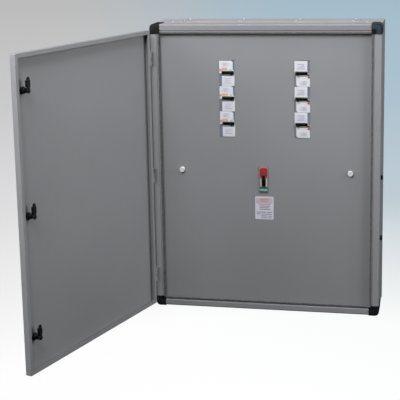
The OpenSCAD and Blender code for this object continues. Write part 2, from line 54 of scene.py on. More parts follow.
rail_lo, rail_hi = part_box("frame_rail_left")
FRONT = rail_lo.y
COVER_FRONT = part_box("cover_plate")[0].y
NOSE_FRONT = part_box("breaker_body_1")[0].y
HALF_W = -rail_lo.x
HALF_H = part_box("frame_rail_top")[1].z
CORNER_LEG = HALF_H - rail_hi.z
CORNER_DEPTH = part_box("frame_corners")[1].y - FRONT

door_joint = joints["door_hinge"]
hinge_at = Vector(door_joint["pos_m"])
open_angle = math.radians(door_joint["range_deg"][1])
# Takes a piece drawn on the shut door to the open door's place at rest
OPENED = (Matrix.Translation(hinge_at) @ Matrix.Rotation(-open_angle, 4, "Z")
          @ Matrix.Translation(-hinge_at))


def slot_centre(i):
    """Place of a breaker's toggle slot, and whether that breaker is turned over."""
    pivot = joints[f"toggle_swing_{i}"]["pos_m"]
    return Vector((pivot[0], NOSE_FRONT, pivot[2])), pivot[0] > 0


# ---------------------------------------------------------------- mesh helpers

def arc(centre, radius, start, end, steps=8):
    """Points on an arc in a plane, from one angle to another, in degrees."""
    angles = [math.radians(start + (end - start) * k / steps) for k in range(steps + 1)]
    return [(centre[0] + radius * math.cos(a), centre[1] + radius * math.sin(a)) for a in angles]


def round_rect(width, height, radius, steps=5):
    """Outline of a rounded rectangle about the origin."""
    w, h = width / 2 - radius, height / 2 - radius
    points = []
    for x, z, start in ((w, h, 0), (-w, h, 90), (-w, -h, 180), (w, -h, 270)):
        points += arc((x, z), radius, start, start + 90, steps)
    return points


def finish_mesh(bm, name, material, body, sharp=35):
    """Turns a bmesh drawn in the row frame into a piece that rides on a body."""
    bmesh.ops.remove_doubles(bm, verts=bm.verts, dist=1e-6)
    bmesh.ops.recalc_face_normals(bm, faces=bm.faces)
    mesh = bpy.data.meshes.new(name)
    bm.to_mesh(mesh)
    bm.free()
    mesh.materials.append(material)
    mesh.shade_smooth()
    mesh.set_sharp_from_angle(angle=math.radians(sharp))
    piece = bpy.data.objects.new(name, mesh)
    bpy.context.scene.collection.objects.link(piece)
    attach(piece, body)
    return piece


def add_plate(bm, outline, back, front, edge=0.0, place=None):
    """Extrudes an outline in X and Z from depth back to depth front, with a rounded front edge."""
    made = []
    rings = [(back, 0.0)]
    if edge:
        for k in range(4):
            turn = math.radians(90 * k / 3)
            rings.append((front + edge * (1 - math.sin(turn)), edge * (1 - math.cos(turn))))
    else:
        rings.append((front, 0.0))
    xs = [p[0] for p in outline]
    zs = [p[1] for p in outline]
    mid = ((min(xs) + max(xs)) / 2, (min(zs) + max(zs)) / 2)
    size = ((max(xs) - min(xs)) / 2, (max(zs) - min(zs)) / 2)
    loops = []
    for depth, inset in rings:
        sx, sz = 1 - inset / size[0], 1 - inset / size[1]
        ring = [bm.verts.new((mid[0] + (x - mid[0]) * sx, depth, mid[1] + (z - mid[1]) * sz))
                for x, z in outline]
        loops.append(ring)
        made += ring
    count = len(outline)
    for a, b in zip(loops, loops[1:]):
        for k in range(count):
            bm.faces.new((a[k], a[(k + 1) % count], b[(k + 1) % count], b[k]))
    bm.faces.new(loops[0])
    bm.faces.new(list(reversed(loops[-1])))
    if place is not None:
        bmesh.ops.transform(bm, matrix=place, verts=made)


def add_turned(bm, profile, place, steps=32):
    """Turns a profile of (radius, height) points about Z, and puts it at place."""
    made, rings = [], []
    for radius, height in profile:
        if radius < 1e-7:
            rings.append([bm.verts.new((0, 0, height))])
        else:
            rings.append([bm.verts.new((radius * math.cos(t), radius * math.sin(t), height))
                          for t in (2 * math.pi * k / steps for k in range(steps))])
        made += rings[-1]
    for a, b in zip(rings, rings[1:]):
        for k in range(steps):
            j = (k + 1) % steps
            corners = [a[k % len(a)], a[j % len(a)], b[j % len(b)], b[k % len(b)]]
            face = list(dict.fromkeys(corners))
            if len(face) > 2:
                bm.faces.new(face)
    for ring in (rings[0], rings[-1]):
        if len(ring) > 2:
            bm.faces.new(ring)
    bmesh.ops.transform(bm, matrix=place, verts=made)


def facing(at, direction):
    """Matrix that puts a turned piece at a point, with its +Z along a direction."""
    return Matrix.Translation(at) @ Vector(direction).to_track_quat("Z", "Y").to_matrix().to_4x4()


# ---------------------------------------------------------------- materials

class Shader:
    """One material with a Principled shader, and short calls that add and link its nodes."""

    def __init__(self, name, colour, roughness, metallic=0.0):
        self.material = bpy.data.materials.new(name)
        self.material.use_nodes = True
        self.tree = self.material.node_tree
        self.bsdf = self.tree.nodes["Principled BSDF"]
        self.bsdf.inputs["Base Color"].default_value = (*colour, 1)
        self.bsdf.inputs["Roughness"].default_value = roughness
        self.bsdf.inputs["Metallic"].default_value = metallic
        self.where = self.add("ShaderNodeTexCoord").outputs["Object"]

    def add(self, kind, **settings):
        node = self.tree.nodes.new(kind)
        for key, value in settings.items():
            setattr(node, key, value)
        return node

    def link(self, source, target):
        self.tree.links.new(source, target)

    def set(self, name, value):
        self.bsdf.inputs[name].default_value = value

    def noise(self, scale, detail=2.0, rough=0.5, stretch=None):
        """A noise value at a scale in cells per metre, stretched along the axes if asked."""
        node = self.add("ShaderNodeTexNoise")
        node.inputs["Scale"].default_value = scale
        node.inputs["Detail"].default_value = detail
        node.inputs["Roughness"].default_value = rough
        source = self.where
        if stretch:
            mapping = self.add("ShaderNodeMapping")
            mapping.inputs["Scale"].default_value = stretch
            self.link(source, mapping.inputs["Vector"])
            source = mapping.outputs["Vector"]
        self.link(source, node.inputs["Vector"])
        return node.outputs["Fac"]

    def remap(self, value, low, high, from_low=0.3, from_high=0.7):
        node = self.add("ShaderNodeMapRange")
        node.inputs["From Min"].default_value = from_low
        node.inputs["From Max"].default_value = from_high
        node.inputs["To Min"].default_value = low
        node.inputs["To Max"].default_value = high
        self.link(value, node.inputs["Value"])
        return node.outputs["Result"]

    def mix(self, fac, a, b):
        """Mixes two colours, each a tuple or a socket, by a value."""
        node = self.add("ShaderNodeMix", data_type="RGBA")
        self.link(fac, node.inputs["Factor"])
        for socket, colour in ((node.inputs[6], a), (node.inputs[7], b)):
            if isinstance(colour, tuple):
                socket.default_value = (*colour, 1)
            else:
                self.link(colour, socket)
        return node.outputs[2]

    def colour(self, socket):
        self.link(socket, self.bsdf.inputs["Base Color"])

    def roughness(self, socket):
        self.link(socket, self.bsdf.inputs["Roughness"])

    def bump(self, height, strength, distance=0.001):
        node = self.add("ShaderNodeBump")
        node.inputs["Strength"].default_value = strength
        node.inputs["Distance"].default_value = distance
        self.link(height, node.inputs["Height"])
        before = self.bsdf.inputs["Normal"]
        if before.is_linked:
            self.link(before.links[0].from_socket, node.inputs["Normal"])
        self.link(node.outputs["Normal"], before)


def shade(colour, factor):
    return tuple(c * factor for c in colour)


def powder_coat(name, colour, roughness=0.4):
    """Semi-gloss powder coat: orange peel, fine grit, and slow drifts of tone and gloss."""
    s = Shader(name, colour, roughness)
    drift = s.noise(2.2, 3)
    grit = s.noise(900, 2, 0.6)
    tone = s.mix(s.remap(drift, 0, 1), shade(colour, 0.965), shade(colour, 1.035))
    s.colour(s.mix(s.remap(grit, 0, 0.12, 0.55, 0.75), tone, shade(colour, 1.5)))
    s.roughness(s.remap(s.noise(7, 4), roughness - 0.05, roughness + 0.06))
    s.bump(s.noise(420, 1.5), 0.1, 0.0004)
    s.bump(grit, 0.06, 0.0003)
    return s.material


def moulded(name, colour, roughness=0.4, grain=0.12, spread=0.06, specular=0.4):
    """Moulded plastic with a fine spark-eroded grain."""
    s = Shader(name, colour, roughness)
    s.set("Specular IOR Level", specular)
    blotch = s.remap(s.noise(35, 3), 0, 1)
    s.colour(s.mix(blotch, shade(colour, 1 - spread), shade(colour, 1 + spread)))
    s.roughness(s.remap(s.noise(120, 3), roughness - 0.06, roughness + 0.08))
    s.bump(s.noise(1600, 2), grain, 0.0003)
    return s.material


def rubber(name, colour):
    """Extruded rubber with faint lines along its length and a dusty bloom."""
    s = Shader(name, colour, 0.7)
    s.colour(s.mix(s.remap(s.noise(60, 4), 0, 1, 0.4, 0.75), colour, shade(colour, 2.0)))
    s.roughness(s.remap(s.noise(25, 3), 0.62, 0.82))
    s.bump(s.noise(700, 3), 0.15, 0.0004)
    return s.material


def plated(name, colour, roughness=0.32, spangle=0.1, metallic=1.0):
    """Zinc or nickel plate with soft clouding and fine rubbing marks."""
    s = Shader(name, colour, roughness, metallic=metallic)
    cloud = s.noise(70, 4, 0.6)
    s.colour(s.mix(s.remap(cloud, 0, 1), shade(colour, 1 - spangle), shade(colour, 1 + spangle)))
    s.roughness(s.remap(s.noise(160, 3), roughness - 0.08, roughness + 0.12))
    s.bump(s.noise(500, 3, 0.7, stretch=(1, 1, 0.08)), 0.08, 0.0003)
    return s.material


def drawn_bar(name, colour, roughness=0.3):
    """Copper or brass bar with draw lines along it and slight tarnish."""
    s = Shader(name, colour, roughness, metallic=1.0)
    tarnish = s.remap(s.noise(18, 5, 0.65), 0, 1, 0.42, 0.72)
    s.colour(s.mix(tarnish, colour, shade(colour, 0.55)))
    lines = s.noise(400, 2, 0.6, stretch=(1, 1, 0.03))
    s.roughness(s.remap(lines, roughness - 0.06, roughness + 0.14))
    s.bump(s.noise(900, 2, 0.6, stretch=(1, 1, 0.02)), 0.1, 0.0002)
    return s.material


def device_case(name, face, body, seam):
    """Switch moulding: pale face in front of the cover, and behind it a dark blue-grey case that is painted shade
    for the shadow in the cover windows.
    """
    s = Shader(name, face, 0.38)
    depth = s.add("ShaderNodeSeparateXYZ")
    s.link(s.where, depth.inputs["Vector"])
    # Painted shade: behind the seam the case turns dark blue-grey
    behind = s.remap(depth.outputs["Y"], 0, 1, seam, seam + 0.0006)
    soft = s.mix(s.remap(s.noise(45, 3), 0, 1), shade(face, 0.955), shade(face, 1.03))
    s.colour(s.mix(behind, soft, body))
    s.roughness(s.remap(s.noise(150, 2), 0.32, 0.46))
    s.bump(s.noise(1500, 2), 0.08, 0.0003)
    return s.material


def cap_with_painted_light(name, dark, painted_lit):
    """Cap plastic with painted light: black low down and to the left, and lighter blue-grey toward the top right,
    where the light falls.
    """
    s = Shader(name, dark, 0.4)
    place = s.add("ShaderNodeSeparateXYZ")
    s.link(s.where, place.inputs["Vector"])
    both = s.add("ShaderNodeMath", operation="ADD")
    s.link(place.outputs["X"], both.inputs[0])
    s.link(place.outputs["Z"], both.inputs[1])
    # Painted light: blend from black at the bottom left to the lit blue-grey at the top right
    tone = s.mix(s.remap(both.outputs[0], 0, 1, 0.3, HALF_W + HALF_H), dark, painted_lit)
    s.colour(s.mix(s.remap(s.noise(35, 3), 0, 0.1), tone, painted_lit))
    s.set("Specular IOR Level", 0.3)
    s.roughness(s.remap(s.noise(120, 3), 0.36, 0.5))
    s.bump(s.noise(1600, 2), 0.12, 0.0003)
    return s.material


def printed(name, colour, roughness=0.5):
    """Ink or card with paper fibres and a little uneven coverage."""
    s = Shader(name, colour, roughness)
    s.colour(s.mix(s.remap(s.noise(600, 3), 0, 1), shade(colour, 0.93), shade(colour, 1.05)))
    s.bump(s.noise(900, 3), 0.05, 0.0002)
    return s.material


GREY = (0.262, 0.264, 0.277)
# Painted shade: dark blue-grey on the case behind the pale faces of the switches, standing in for the shadow in
# the cover windows, and the depth where it starts
CASE_SHADE_BLUE = (0.20, 0.23, 0.29)
CASE_SEAM = NOSE_FRONT + 3.5 * MM

M = {
    "painted_steel": powder_coat("powder_coat_grey", GREY),
    "frame_paint": powder_coat("powder_coat_frame", shade(GREY, 1.02), 0.5),
    "black_moulding": moulded("black_moulding", (0.005, 0.0055, 0.0065), 0.42, specular=0.3),
    "seal_rubber": rubber("seal_rubber", (0.042, 0.038, 0.041)),
    "zinc_plate": plated("zinc_plate", (0.55, 0.56, 0.58)),
    "bright_metal": plated("bright_plate", (0.90, 0.91, 0.92), 0.36, 0.04, metallic=0.3),
    "switch_case": device_case("switch_case", (0.70, 0.71, 0.74), CASE_SHADE_BLUE, CASE_SEAM),
    "toggle_black": moulded("toggle_black", (0.0035, 0.0035, 0.004), 0.45, specular=0.16),
    "trip_red": moulded("trip_red", (0.30, 0.03, 0.035), 0.35),
    "on_red": moulded("on_red", (0.30, 0.034, 0.038), 0.4, specular=0.3),
    "off_green": moulded("off_green", (0.02, 0.11, 0.085), 0.35),
    "label_card": printed("label_card", (0.66, 0.66, 0.74)),
    "copper_bar": drawn_bar("copper_bar", (0.80, 0.38, 0.22)),
    "insulator": moulded("insulator", (0.22, 0.035, 0.025), 0.5),
    "brass_bar": drawn_bar("brass_bar", (0.76, 0.56, 0.25)),
}
INK_GREY = printed("ink_grey", (0.22, 0.23, 0.27))
INK_BLUE = printed("ink_blue", (0.20, 0.23, 0.33))
INK_RED = printed("ink_red", (0.50, 0.25, 0.27))
INK_PINK = printed("ink_pink", (0.60, 0.45, 0.49))
FLAG_ORANGE = moulded("flag_orange", (0.62, 0.42, 0.34), 0.4)
BUTTON_ORANGE = moulded("button_orange", (0.58, 0.25, 0.17), 0.35)
FLAG_RED = moulded("flag_red", (0.15, 0.018, 0.024), 0.4)
FLAG_GREEN = moulded("flag_green", (0.40, 0.56, 0.46), 0.4)
PALE_GREEN = moulded("pale_green", (0.26, 0.42, 0.36), 0.4)
CAP_PINK = moulded("cap_pink", (0.48, 0.20, 0.19), 0.4)
CREAM = moulded("cream", (0.58, 0.52, 0.40), 0.4)
# Painted light: the caps are drawn lighter toward the top right
CORNER_CAP = cap_with_painted_light("corner_cap", dark=(0.006, 0.007, 0.008), painted_lit=(0.028, 0.044, 0.052))
MAIN_CASE = device_case("main_case", (0.235, 0.24, 0.245), CASE_SHADE_BLUE, CASE_SEAM)
BLACK_ZINC = plated("black_zinc", (0.045, 0.047, 0.05), 0.4)
HINGE_PAINT = powder_coat("hinge_paint", shade(GREY, 0.9), 0.34)
# Painted light: the top panel and gland plates are drawn lighter than the other steel, for the light falling on
# the top
TOP_PAINTED_LIGHT = powder_coat("top_painted_light", shade(GREY, 1.22), 0.5)
SEAL_GREY = rubber("seal_grey", (0.075, 0.072, 0.075))
# Painted shade: the top rail is drawn darker than the other rails, against the light from above
TOP_RAIL_PAINTED_SHADE = powder_coat("top_rail_painted_shade", shade(GREY, 0.84), 0.55)

# Nodes whose finish differs from the rest of their slot; the top panel and gland plates carry painted light, and
# the top rail painted shade
FINISH = {
    "top_panel": TOP_PAINTED_LIGHT,
    "gland_plates": TOP_PAINTED_LIGHT,
    "frame_rail_top": TOP_RAIL_PAINTED_SHADE,
    "frame_seal": SEAL_GREY,
    "main_switch_body": MAIN_CASE,
    "frame_hinge_leaves": HINGE_PAINT,
    "door_hinge_leaves": HINGE_PAINT,
    "hinge_pins": HINGE_PAINT,
    "latch_spindle_1": BLACK_ZINC,
    "latch_spindle_2": BLACK_ZINC,
    "latch_spindle_3": BLACK_ZINC,
    "trip_button_1": BUTTON_ORANGE,
    "trip_button_2": BUTTON_ORANGE,
    "trip_button_3": BUTTON_ORANGE,
}

# Width in millimetres of the rounding on each CAD node's edges
EDGE = {
    "painted_steel": 0.5, "frame_paint": 0.5, "black_moulding": 0.8, "switch_case": 0.6,
    "toggle_black": 0.7, "trip_red": 0.4, "on_red": 0.3, "off_green": 0.3, "zinc_plate": 0.3,
    "bright_metal": 0.4, "copper_bar": 0.5, "brass_bar": 0.5, "insulator": 0.8,
}
WELD_REACH = 0.02 * MM


def dress_nodes():
    """Gives each CAD node its slot's material and rounded edges."""
    slots = {s["node"]: s["material_slot"] for s in frame["record"]["subparts"]}
    for name, node in nodes.items():
        slot = slots[name]
        node.data.materials.clear()
        node.data.materials.append(FINISH.get(name, M[slot]))
        if slot in EDGE:
            weld = node.modifiers.new("weld", "WELD")
            weld.merge_threshold = WELD_REACH
            bevel = node.modifiers.new("edges", "BEVEL")
            bevel.width = EDGE[slot] * MM
            bevel.segments = 2
            bevel.limit_method = "ANGLE"
            bevel.angle_limit = math.radians(40)


# ---------------------------------------------------------------- moulded corner caps

CAP_PROUD = 2.0 * MM
CAP_WIDTH = 20.5 * MM
CAP_RADIUS = 17 * MM
CAP_EDGE = 6 * MM
CAP_WALL = 1.2 * MM
CAP_END = 1.0 * MM
CAP_STEPS = 8
CAP_CENTRE = CAP_RADIUS - CAP_PROUD
# Points nearer the front than this are on the cap's face
CAP_FACE = 10 * MM


def cap_section():
    """Section of a cap's leg: distance in from the cabinet's outer face, and depth."""
    out = -CAP_PROUD
    face = -CAP_PROUD + 0.2 * MM
    section = [(CAP_WIDTH, face + 1.0 * MM), (CAP_WIDTH - 0.3 * MM, face + 0.3 * MM),
               (CAP_WIDTH - 1.0 * MM, face)]
    section += arc((out + CAP_EDGE, face + CAP_EDGE), CAP_EDGE, 270, 180, 7)
    section += [(out, CORNER_DEPTH - 1.5 * MM), (out + 0.5 * MM, CORNER_DEPTH - 0.4 * MM),
                (out + CAP_WALL, CORNER_DEPTH)]
    return section


def cap_leg_end(section, along, sunk):
    """The section at a place along a straight leg, sunk a little where the leg ends."""
    return [(d + sunk if d < CAP_CENTRE else d, depth + sunk if depth < CAP_FACE else depth,
             along, None) for d, depth in section]


def cap_spot(d, depth, along, turn):
    """Distances in from the two outer faces, and depth, of a point on a leg or in the bend."""
    if along is None:
        radius = max(CAP_CENTRE - d, 0.0)
        base = max(CAP_CENTRE, d)
        angle = math.radians(180 + 90 * turn)
        return base + radius * math.cos(angle), base + radius * math.sin(angle), depth
    return (d, along, depth) if along > 0 else (-along, d, depth)


def corner_caps():
    """Caps over the four frame corners, each swept round its corner's radius."""
    section = cap_section()
    ends = [(CORNER_LEG, 0.5 * MM), (CORNER_LEG - 0.3 * MM, 0.15 * MM), (CORNER_LEG - CAP_END, 0.0)]
    rings = [cap_leg_end(section, along, sunk) for along, sunk in ends]
    for k in range(CAP_STEPS + 1):
        rings.append([(d, depth, None, k / CAP_STEPS) for d, depth in section])
    rings += [cap_leg_end(section, -along, sunk) for along, sunk in reversed(ends)]
    for n, (sx, sz) in enumerate(((-1, 1), (1, 1), (-1, -1), (1, -1)), 1):
        bm = bmesh.new()
        grid = []
        for ring in rings:
            spots = [cap_spot(*point) for point in ring]
            grid.append([bm.verts.new((sx * (HALF_W - u), FRONT + depth, sz * (HALF_H - v)))
                         for u, v, depth in spots])
        for a, b in zip(grid, grid[1:]):
            for k in range(len(section) - 1):
                bm.faces.new((a[k], a[k + 1], b[k + 1], b[k]))
        piece = finish_mesh(bm, f"corner_cap_{n}", CORNER_CAP, "cabinet", sharp=50)
        wall = piece.modifiers.new("wall", "SOLIDIFY")
        wall.thickness = CAP_WALL
        wall.offset = -1


# ---------------------------------------------------------------- switch faces

def at_breaker(i):
    """Matrix from a breaker's own frame, about its slot, to its place.

    The right column is turned over.
    """
    centre, turned = slot_centre(i)
    place = Matrix.Translation((centre.x, 0, centre.z))
    return place @ Matrix.Rotation(math.pi, 4, "Y") if turned else place


def add_frame(bm, width, height, wall, back, front, place):
    """A raised rectangular rim."""
    outer = round_rect(width, height, 2.0 * MM)
    inner = round_rect(width - 2 * wall, height - 2 * wall, 0.8 * MM)
    rings = []
    lip = 0.4 * MM
    for outline, depth, grow in ((outer, back, 1.0), (outer, front + lip, 1.0), (outer, front, 0.985),
                                 (inner, front, 1.02), (inner, front + lip, 1.0), (inner, back, 1.0)):
        rings.append([bm.verts.new((x * grow, depth, z * grow)) for x, z in outline])
    made = [v for ring in rings for v in ring]
    count = len(outer)
    for a, b in zip(rings, rings[1:] + rings[:1]):
        for k in range(count):
            bm.faces.new((a[k], a[(k + 1) % count], b[(k + 1) % count], b[k]))
    bmesh.ops.transform(bm, matrix=place, verts=made)


def bars(bm, rows, back, front, place):
    """Plain printed bars, each (left, right, height of its middle, thickness) in millimetres."""
    for left, right, middle, thick in rows:
        outline = [(left * MM, (middle - thick / 2) * MM), (right * MM, (middle - thick / 2) * MM),
                   (right * MM, (middle + thick / 2) * MM), (left * MM, (middle + thick / 2) * MM)]
        add_plate(bm, outline, back, front, place=place)


def breaker_faces():
    """Slot bezel, rating cards with plain bars, status flags and the trip button's ring."""
    face = NOSE_FRONT
    card = face - 0.25 * MM
    ink = card - 0.08 * MM
    for i in BREAKERS:
        place = at_breaker(i)
        turned = slot_centre(i)[1]
        flag_colour = FLAG_RED if turned else FLAG_ORANGE

        bm = bmesh.new()
        add_frame(bm, 50.5 * MM, 19.5 * MM, 2.6 * MM, face + 0.3 * MM, face - 1.0 * MM, place)
        finish_mesh(bm, f"slot_bezel_{i}", M["toggle_black"], "cabinet")

        bm = bmesh.new()
        add_plate(bm, round_rect(33 * MM, 19 * MM, 1.5 * MM), face + 0.1 * MM, card, 0.15 * MM,
                  place @ Matrix.Translation((-8 * MM, 0, 37 * MM)))
        add_plate(bm, round_rect(38 * MM, 30 * MM, 1.5 * MM), face + 0.1 * MM, card, 0.15 * MM,
                  place @ Matrix.Translation((2 * MM, 0, -31 * MM)))
        finish_mesh(bm, f"rating_card_{i}", M["label_card"], "cabinet")

        bm = bmesh.new()
        bars(bm, [(-20, -2, 43, 1.2), (-20, 4, 39, 1.2), (-20, -6, 35, 1.2), (-20, 0, 31, 1.2),
                  (-12, 17, -21, 1.4), (-12, 10, -26, 1.0), (-12, 14, -30, 1.0), (-12, 4, -34, 1.0),
                  (-12, 16, -39, 1.6)], card + 0.05 * MM, ink, place)
        finish_mesh(bm, f"card_print_{i}", INK_GREY, "cabinet")

        bm = bmesh.new()
        wide, high, across, up = (9, 7.5, -29.8, 4.6) if turned else (23, 11, -12.5, 17.5)
        add_plate(bm, round_rect(wide * MM, high * MM, 1.2 * MM), face + 0.1 * MM, face - 0.4 * MM,
                  0.2 * MM, place @ Matrix.Translation((across * MM, 0, up * MM)))
        finish_mesh(bm, f"on_flag_{i}", flag_colour, "cabinet")

        bm = bmesh.new()
        button = (place @ Matrix.Translation((-30 * MM, face, 14 * MM))
                  @ Matrix.Rotation(math.pi / 2, 4, "X"))
        add_turned(bm, [(4.3 * MM, -0.2 * MM), (4.3 * MM, 0.5 * MM), (4.5 * MM, 0.7 * MM),
                        (5.2 * MM, 0.7 * MM), (5.4 * MM, 0.5 * MM), (5.4 * MM, -0.2 * MM),
                        (4.3 * MM, -0.2 * MM)], button)
        finish_mesh(bm, f"trip_ring_{i}", flag_colour, "cabinet")

        bm = bmesh.new()
        add_plate(bm, round_rect(10 * MM, 6 * MM, 1.2 * MM), face + 0.1 * MM, face - 0.4 * MM,
                  0.2 * MM, place @ Matrix.Translation((12 * MM, 0, 15 * MM)))
        finish_mesh(bm, f"off_flag_{i}", FLAG_GREEN, "cabinet")


def label_print():
    """Plain bars in three inks on the label card under the main switch."""
    lo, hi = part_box("label_card")
    place = Matrix.Translation(((lo.x + hi.x) / 2, 0, (lo.z + hi.z) / 2))
    back, front = lo.y + 0.1 * MM, lo.y - 0.12 * MM
    bm = bmesh.new()
    add_plate(bm, round_rect(69 * MM, 24 * MM, 3 * MM), back, front, 0.05 * MM,
              place @ Matrix.Translation((0, 0, 32 * MM)))
    finish_mesh(bm, "label_head", INK_PINK, "cabinet")
    bm = bmesh.new()
    bars(bm, [(-16, 17, 37, 4), (-13, 15, 29.5, 4), (-26, 27, 16, 3)], back, front - 0.08 * MM, place)
    finish_mesh(bm, "label_red_bars", INK_RED, "cabinet")
    bm = bmesh.new()
    bars(bm, [(-20, 24, 8, 3.4), (-20, 20, 1, 3.4), (-20, 26, -6, 3.4)], back, front, place)
    finish_mesh(bm, "label_grey_bars", INK_GREY, "cabinet")
    bm = bmesh.new()
    bars(bm, [(-32, 6, -18, 3.2), (9, 31, -18, 3.2), (-32, -14, -26, 3.2), (-10, 31, -26, 3.2),
              (-14, 12, -34, 3.2), (15, 31, -34, 3.2), (-14, 31, -41.5, 2.4)], back, front, place)
    finish_mesh(bm, "label_blue_bars", INK_BLUE, "cabinet")


def main_switch_face():
    """The main switch's red cap and its rim, slot bezel with cream cheeks, and green foot."""
    pivot = joints["main_lever_swing"]["pos_m"]
    face = NOSE_FRONT

    def plate(name, material, width, height, radius, across, up, proud, edge):
        bm = bmesh.new()
        outline = round_rect(width * MM, height * MM, radius * MM)
        add_plate(bm, outline, face + 0.2 * MM, face - proud * MM, edge * MM,
                  Matrix.Translation((pivot[0] + across * MM, 0, up * MM)))
        finish_mesh(bm, name, material, "cabinet")

    plate("main_cap_rim", CAP_PINK, 37.5, 47, 12, 0, -12.5, 1.3, 0.4)
    plate("main_cap", M["on_red"], 31.5, 41, 10, 0, -12.5, 3.2, 1.4)
    plate("main_cap_notch", M["toggle_black"], 11, 10, 2, 0, -29.5, 3.6, 0.5)
    plate("main_cheek_left", CREAM, 5.5, 36, 2, -11.5, -55, 1.0, 0.5)
    plate("main_cheek_right", CREAM, 5.5, 36, 2, 11.5, -55, 1.0, 0.5)
    plate("main_off_band", PALE_GREEN, 30, 9, 2, 0, -86, 1.6, 0.3)

    place = Matrix.Translation((pivot[0], 0, pivot[2])) @ Matrix.Rotation(math.pi / 2, 4, "Y")
    bm = bmesh.new()
    add_frame(bm, 38 * MM, 16.5 * MM, 2.2 * MM, face + 0.3 * MM, face - 1.2 * MM, place)
    finish_mesh(bm, "main_slot_bezel", M["toggle_black"], "cabinet")


# ---------------------------------------------------------------- knobs, latches and hinge side

def knob_shade_washers():
    """Dark washer under each cover knob, painted shade standing in for the knob's shadow on the cover."""
    for side in ("left", "right"):
        pivot = Vector(joints[f"knob_turn_{side}"]["pos_m"])
        bm = bmesh.new()
        add_turned(bm, [(7 * MM, -0.1 * MM), (7 * MM, 1.2 * MM), (13.2 * MM, 1.2 * MM),
                        (14 * MM, 0.5 * MM), (14 * MM, -0.1 * MM), (7 * MM, -0.1 * MM)],
                   facing(Vector((pivot.x, COVER_FRONT, pivot.z)), (0, -1, 0)))
        finish_mesh(bm, f"knob_shade_washer_{side}", M["seal_rubber"], "cabinet")


def latch_grips():
    """Black moulded sleeve on each latch tongue, drawn on the shut door and swung open with it."""
    spindle = OPENED.inverted() @ Vector(joints["latch_turn_2"]["pos_m"])
    for i in LATCHES:
        height = joints[f"latch_turn_{i}"]["pos_m"][2]
        bm = bmesh.new()
        outline = round_rect(18 * MM, 25 * MM, 3 * MM)
        place = OPENED @ Matrix.Translation((spindle.x, 0, height + 24.5 * MM))
        add_plate(bm, outline, -253.5 * MM, -263.8 * MM, 1.5 * MM, place)
        finish_mesh(bm, f"latch_sleeve_{i}", M["black_moulding"], f"latch_{i}")


def hinge_gap_shade_strip():
    """Dark rubber strip down the hinge side of the frame, which closes the gap beside the open door; its dark face
    is painted shade standing in for the shadow in that gap.
    """
    bm = bmesh.new()
    outline = [(-HALF_W - 2.6 * MM, FRONT + 3 * MM), (-HALF_W - 1.6 * MM, FRONT + 1.2 * MM),
               (-HALF_W - 0.2 * MM, FRONT + 2.2 * MM), (-HALF_W + 0.2 * MM, FRONT + 16 * MM),
               (-HALF_W - 1.6 * MM, FRONT + 17 * MM), (-HALF_W - 2.6 * MM, FRONT + 15 * MM)]
    top = HALF_H - CORNER_LEG - 1 * MM
    rings = [[bm.verts.new((x, y, z)) for x, y in outline] for z in (-top, top)]
    for k in range(len(outline)):
        j = (k + 1) % len(outline)
        bm.faces.new((rings[0][k], rings[0][j], rings[1][j], rings[1][k]))
    bm.faces.new(rings[0])
    bm.faces.new(list(reversed(rings[1])))
    finish_mesh(bm, "hinge_gap_shade_strip", M["seal_rubber"], "cabinet")


# ---------------------------------------------------------------- stage, lights and camera

def add_ramp(tree, value, stops):
    """A colour ramp with the given stops, driven by a socket; returns its colour."""
    node = tree.nodes.new("ShaderNodeValToRGB")
    tree.links.new(value, node.inputs["Fac"])
    first, last = node.color_ramp.elements
    first.position, last.position = 0.0, 1.0
    first.color = (*stops[0][1], 1)
    last.color = (*stops[-1][1], 1)
    for at, colour in stops[1:-1]:
        node.color_ramp.elements.new(at).color = (*colour, 1)
    return node.outputs["Color"]


def sky():
    """A dim, soft sky that only fills the shadows."""
    world = bpy.data.worlds.new("studio")
    bpy.context.scene.world = world
    world.use_nodes = True
    tree = world.node_tree
    back = tree.nodes["Background"]
    back.inputs["Strength"].default_value = SKY_STRENGTH
    coord = tree.nodes.new("ShaderNodeTexCoord")
    split = tree.nodes.new("ShaderNodeSeparateXYZ")
    tree.links.new(coord.outputs["Generated"], split.inputs["Vector"])
    remap = tree.nodes.new("ShaderNodeMapRange")
    remap.inputs["From Min"].default_value = -1
    tree.links.new(split.outputs["Z"], remap.inputs["Value"])
    tree.links.new(add_ramp(tree, remap.outputs["Result"], SKY_STOPS), back.inputs["Color"])


